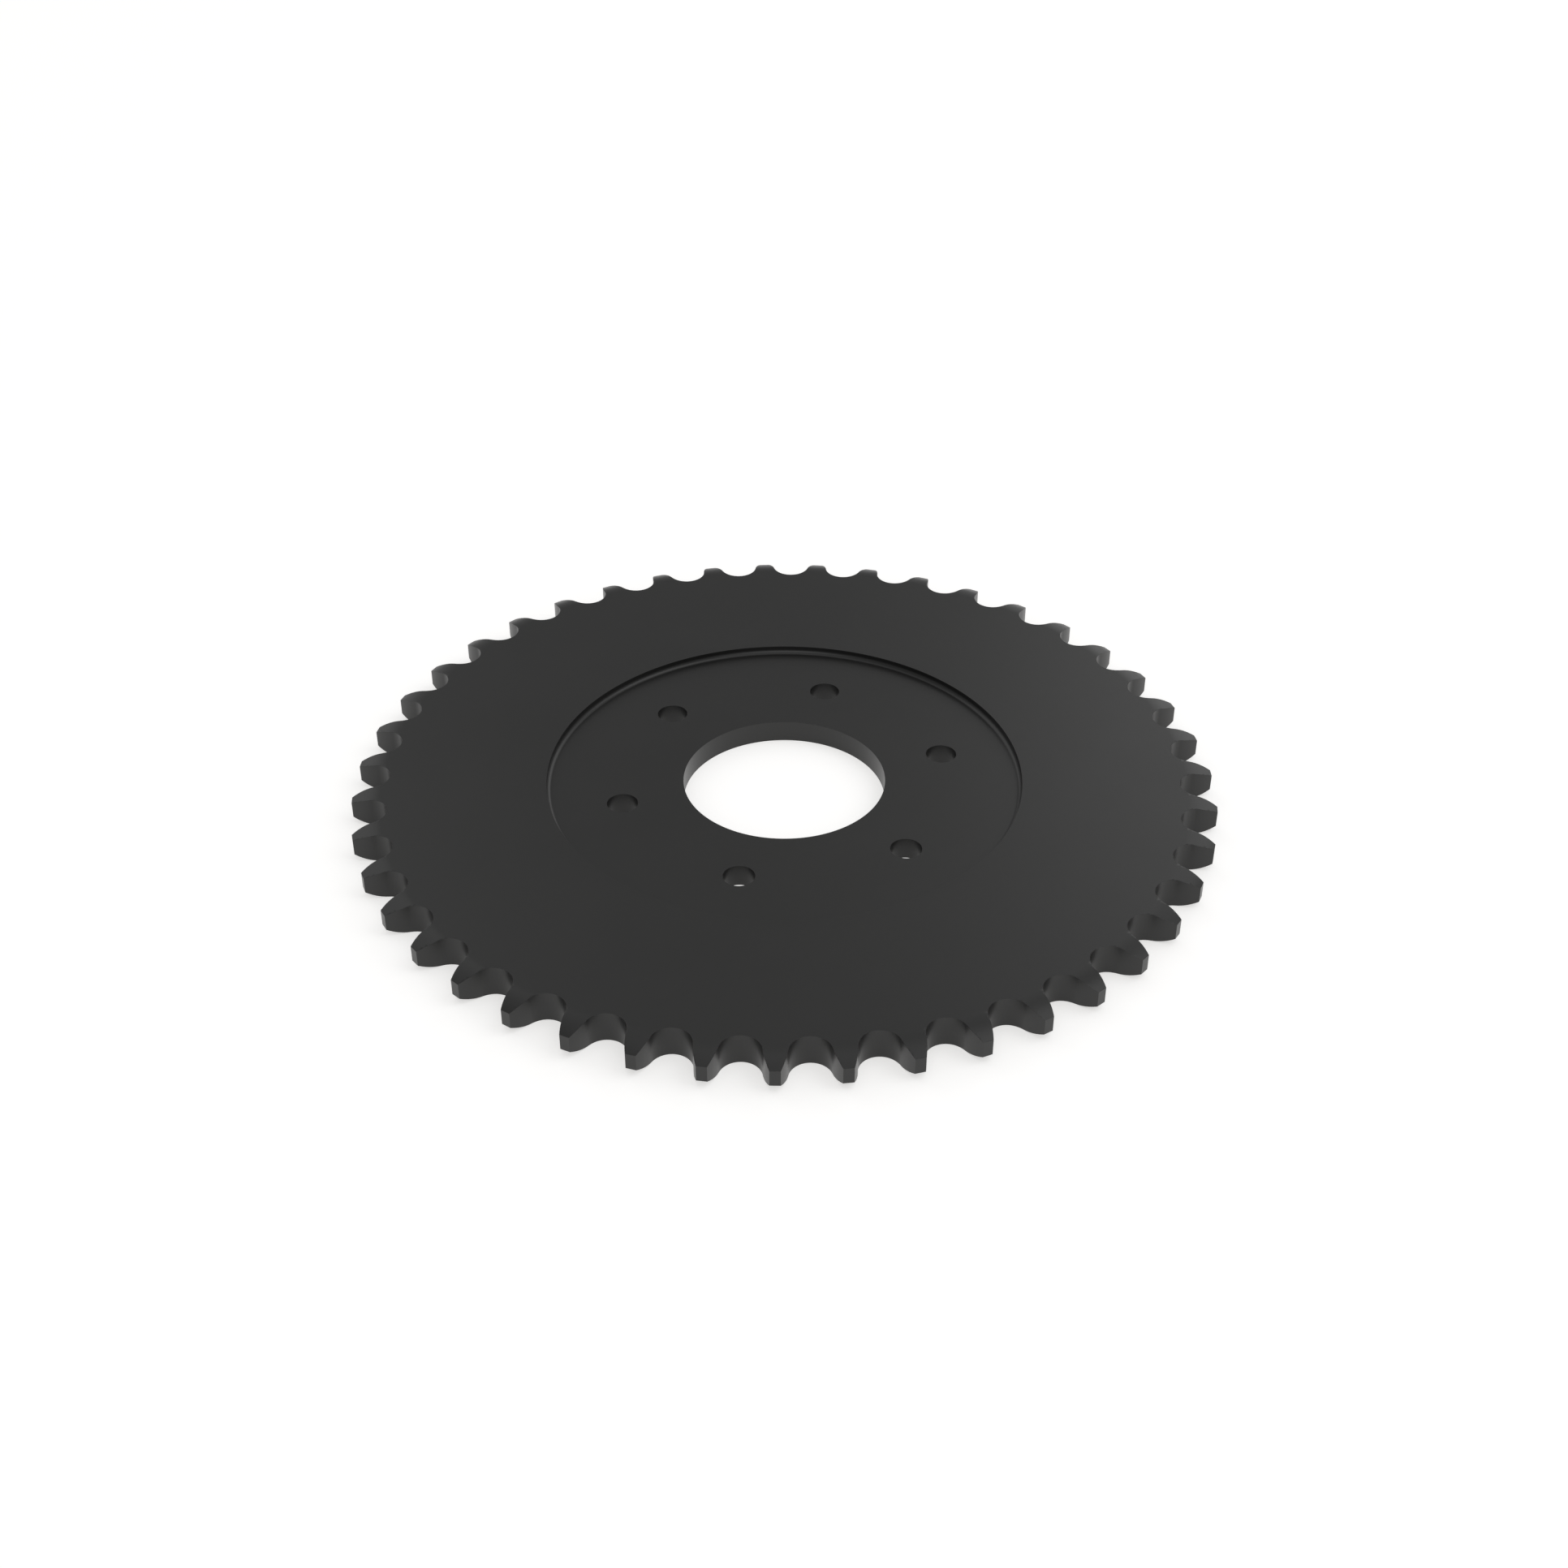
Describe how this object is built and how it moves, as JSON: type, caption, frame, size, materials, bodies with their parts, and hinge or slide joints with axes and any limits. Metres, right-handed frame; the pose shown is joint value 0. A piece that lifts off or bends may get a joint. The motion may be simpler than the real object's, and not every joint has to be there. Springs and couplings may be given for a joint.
{
  "type": "rear sprocket",
  "caption": "Flat one-piece rear chain sprocket with side-relieved teeth, a central bore, a ring of bolt holes and a shallow round recess in its front face.",
  "frame": {"origin": "centre of the bore, on the plate's flat back face", "axes": "+Z along the axle, out of the face that has the recess; +X through the middle of a tooth gap and of a bolt hole"},
  "size_m": [0.2258, 0.226, 0.0081],
  "materials": {
    "blackened_steel": "satin"
  },
  "bodies": {
    "root": {"sprocket": "blackened_steel"}
  },
  "joints": []
}
